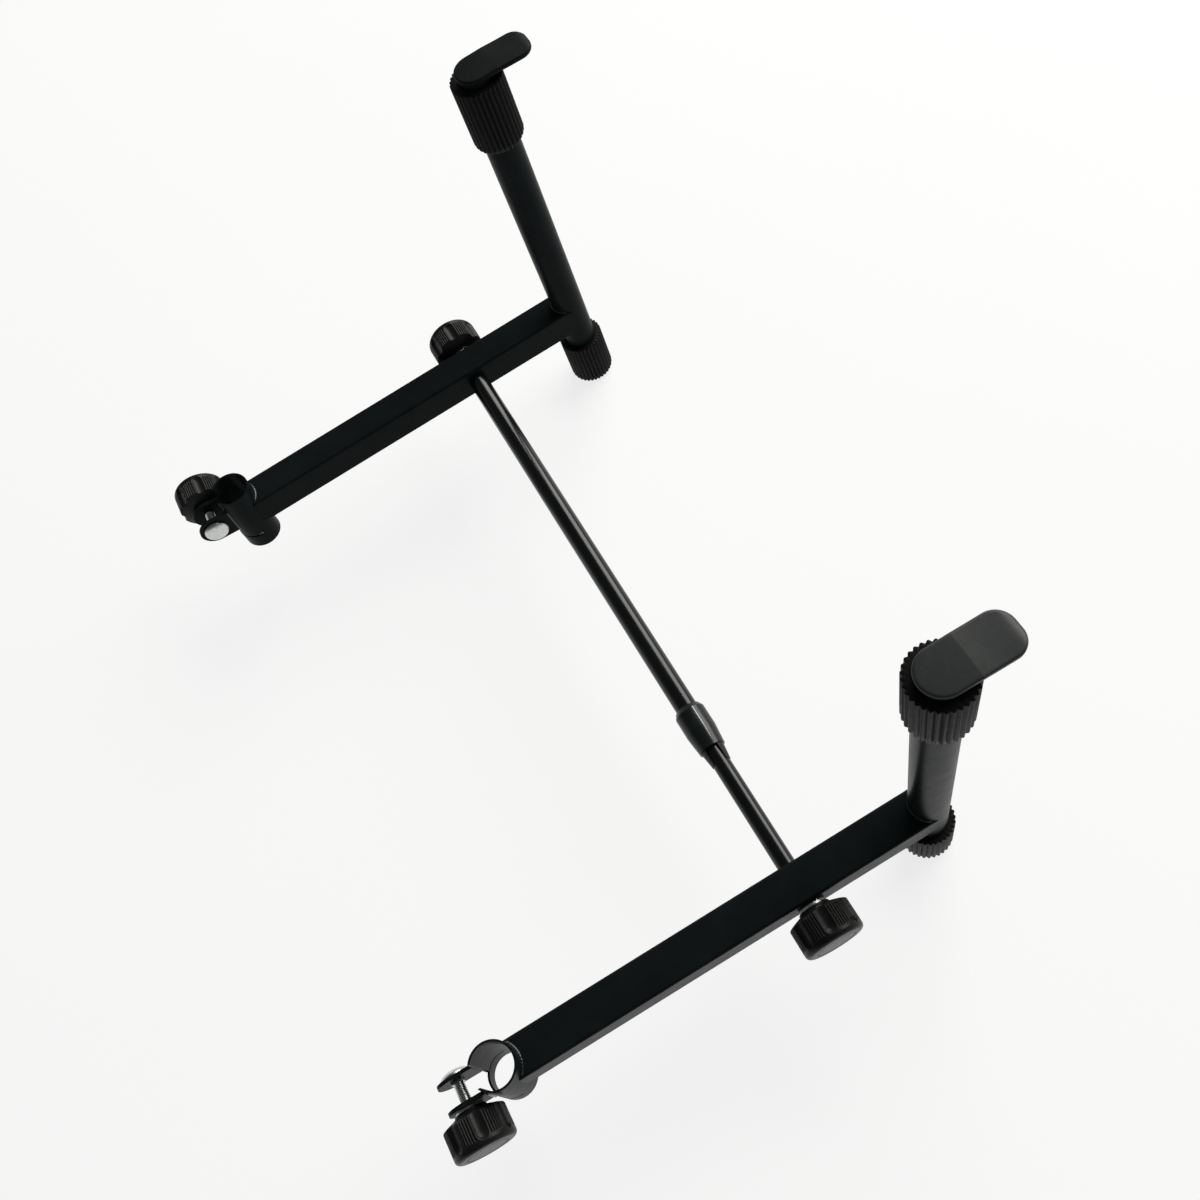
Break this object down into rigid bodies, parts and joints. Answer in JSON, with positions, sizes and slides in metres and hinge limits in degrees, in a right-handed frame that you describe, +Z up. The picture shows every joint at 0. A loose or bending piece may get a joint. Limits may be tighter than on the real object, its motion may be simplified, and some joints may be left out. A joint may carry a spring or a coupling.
{
  "type": "keyboard stand second tier",
  "caption": "Clamp-on second tier for a keyboard stand: square arms with split clamps and padded posts, joined by a telescopic crossbar.",
  "frame": {"origin": "on the floor under the middle of the whole part", "axes": "+X along the crossbar from the left arm to the right arm, +Y from the posts back to the clamps, +Z up along the posts"},
  "size_m": [0.5886, 0.4124, 0.335],
  "materials": {
    "frame_black": "satin black powder coat",
    "bar_black": "glossy black paint",
    "grip_rubber": "moulded, satin",
    "pad_rubber": "matte, soft",
    "knob_plastic": "moulded, satin",
    "nylon_black": "plain nylon",
    "zinc_steel": "bright zinc plate",
    "brass_insert": "plain"
  },
  "bodies": {
    "left_frame": {"left_arm": "frame_black", "left_post": "frame_black", "left_post_foot": "grip_rubber", "left_swivel_plug": "nylon_black", "left_clamp_tube": "frame_black", "left_clamp_ear_inner": "frame_black", "left_clamp_ear_outer": "frame_black", "left_clamp_bolt": "zinc_steel", "left_arm_bush": "nylon_black"},
    "left_cap": {"left_grip_cap": "grip_rubber", "left_support_pad": "pad_rubber"},
    "left_clamp_washer": {"left_clamp_washer": "zinc_steel"},
    "left_clamp_knob": {"left_clamp_knob": "knob_plastic", "left_clamp_knob_insert": "brass_insert"},
    "left_bar_washer": {"left_bar_washer": "zinc_steel"},
    "left_bar_knob": {"left_bar_knob": "knob_plastic", "left_bar_knob_insert": "brass_insert", "left_bar_screw": "zinc_steel"},
    "right_frame": {"right_arm": "frame_black", "right_post": "frame_black", "right_post_foot": "grip_rubber", "right_swivel_plug": "nylon_black", "right_clamp_tube": "frame_black", "right_clamp_ear_inner": "frame_black", "right_clamp_ear_outer": "frame_black", "right_clamp_bolt": "zinc_steel", "right_arm_bush": "nylon_black"},
    "right_cap": {"right_grip_cap": "grip_rubber", "right_support_pad": "pad_rubber"},
    "right_clamp_washer": {"right_clamp_washer": "zinc_steel"},
    "right_clamp_knob": {"right_clamp_knob": "knob_plastic", "right_clamp_knob_insert": "brass_insert"},
    "right_bar_washer": {"right_bar_washer": "zinc_steel"},
    "right_bar_knob": {"right_bar_knob": "knob_plastic", "right_bar_knob_insert": "brass_insert", "right_bar_screw": "zinc_steel"},
    "bar_inner": {"bar_inner_tube": "bar_black", "guide_bush": "nylon_black", "left_bar_insert": "zinc_steel"},
    "bar_outer": {"bar_outer_tube": "bar_black", "lock_collet": "nylon_black", "right_bar_insert": "zinc_steel"},
    "lock_collar": {"lock_collar": "knob_plastic"}
  },
  "joints": [
    {"name": "left_arm_swing", "type": "hinge", "parent": "left_frame", "child": "bar_inner", "pos_m": [-0.252, -0.06655, 0.082], "axis": [1, 0, 0], "continuous": true},
    {"name": "bar_telescope", "type": "slide", "parent": "bar_inner", "child": "bar_outer", "axis": [1, 0, 0], "range_m": [-0.08, 0.16]},
    {"name": "lock_collar_turn", "type": "hinge", "parent": "bar_outer", "child": "lock_collar", "pos_m": [-0.1266, -0.06655, 0.082], "axis": [1, 0, 0], "range_deg": [0, 90]},
    {"name": "right_arm_swing", "type": "hinge", "parent": "bar_outer", "child": "right_frame", "pos_m": [0.252, -0.06655, 0.082], "axis": [1, 0, 0], "continuous": true},
    {"name": "left_cap_turn", "type": "hinge", "parent": "left_frame", "child": "left_cap", "pos_m": [-0.252, -0.16455, 0.3275], "axis": [0, 0, 1], "continuous": true},
    {"name": "left_clamp_washer_slide", "type": "slide", "parent": "left_frame", "child": "left_clamp_washer", "axis": [-1, 0, 0], "range_m": [0, 0.005]},
    {"name": "left_clamp_knob_turn", "type": "hinge", "parent": "left_clamp_washer", "child": "left_clamp_knob", "pos_m": [-0.252, 0.18495, 0.08892], "axis": [-1, 0, 0], "range_deg": [0, 1440]},
    {"name": "left_bar_washer_slide", "type": "slide", "parent": "bar_inner", "child": "left_bar_washer", "axis": [-1, 0, 0], "range_m": [0, 0.005]},
    {"name": "left_bar_knob_turn", "type": "hinge", "parent": "left_bar_washer", "child": "left_bar_knob", "pos_m": [-0.252, -0.06655, 0.082], "axis": [-1, 0, 0], "range_deg": [0, 1440]},
    {"name": "right_cap_turn", "type": "hinge", "parent": "right_frame", "child": "right_cap", "pos_m": [0.252, -0.16455, 0.3275], "axis": [0, 0, 1], "continuous": true},
    {"name": "right_clamp_washer_slide", "type": "slide", "parent": "right_frame", "child": "right_clamp_washer", "axis": [1, 0, 0], "range_m": [0, 0.005]},
    {"name": "right_clamp_knob_turn", "type": "hinge", "parent": "right_clamp_washer", "child": "right_clamp_knob", "pos_m": [0.252, 0.18495, 0.08892], "axis": [1, 0, 0], "range_deg": [0, 1440]},
    {"name": "right_bar_washer_slide", "type": "slide", "parent": "bar_outer", "child": "right_bar_washer", "axis": [1, 0, 0], "range_m": [0, 0.005]},
    {"name": "right_bar_knob_turn", "type": "hinge", "parent": "right_bar_washer", "child": "right_bar_knob", "pos_m": [0.252, -0.06655, 0.082], "axis": [1, 0, 0], "range_deg": [0, 1440]}
  ],
  "couplings": [
    {"joint": "left_clamp_washer_slide", "follows": "left_clamp_knob_turn", "m_per_rad": 0.0001989},
    {"joint": "left_bar_washer_slide", "follows": "left_bar_knob_turn", "m_per_rad": 0.0001989},
    {"joint": "right_clamp_washer_slide", "follows": "right_clamp_knob_turn", "m_per_rad": 0.0001989},
    {"joint": "right_bar_washer_slide", "follows": "right_bar_knob_turn", "m_per_rad": 0.0001989}
  ]
}
